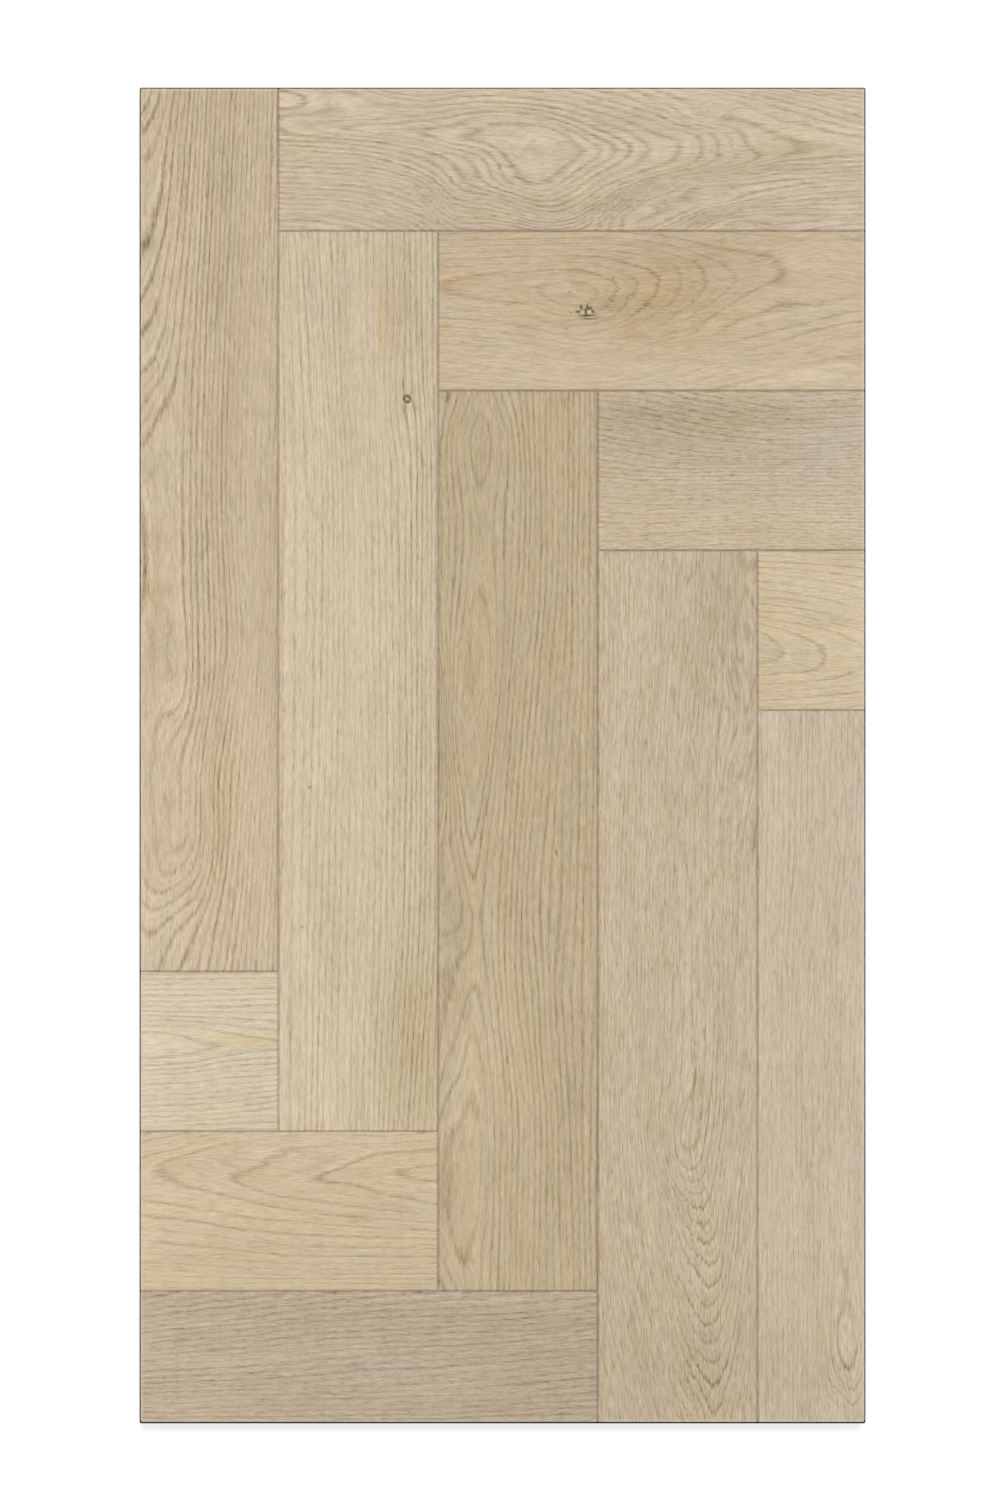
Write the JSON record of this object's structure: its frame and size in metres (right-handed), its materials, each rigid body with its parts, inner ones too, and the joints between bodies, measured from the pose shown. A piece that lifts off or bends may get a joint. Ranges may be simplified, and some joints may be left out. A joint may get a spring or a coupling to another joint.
{
  "type": "herringbone parquet panel",
  "caption": "Flat rectangular floor panel of bevelled oak parquet blocks laid in herringbone, joined by tongues and grooves, with dark painted edges.",
  "frame": {"origin": "centre of the panel's underside", "axes": "+Z up out of the wearing face, +Y along the panel's long side, towards the end where its widest crosswise block lies, +X across it, to the right when the wearing face is seen with +Y up"},
  "size_m": [0.5, 0.92, 0.015],
  "materials": {
    "pale_oak": "pale matt oiled oak, the lightest blocks, with dark painted sawn edges",
    "straw_oak": "straw coloured matt oiled oak, with dark painted sawn edges",
    "sand_oak": "sand coloured matt oiled oak, with dark painted sawn edges",
    "tan_oak": "tan matt oiled oak, the warmest block, with dark painted sawn edges",
    "grey_oak": "greyish matt oiled oak, with dark painted sawn edges"
  },
  "bodies": {
    "root": {"lengthwise_block_1": "sand_oak", "lengthwise_block_2": "straw_oak", "lengthwise_block_3": "tan_oak", "lengthwise_block_4": "grey_oak", "lengthwise_block_5": "sand_oak", "crosswise_block_1": "sand_oak", "crosswise_block_2": "straw_oak", "crosswise_block_3": "grey_oak", "crosswise_block_4": "pale_oak", "crosswise_block_5": "pale_oak", "crosswise_block_6": "straw_oak", "crosswise_block_7": "grey_oak"}
  },
  "joints": []
}
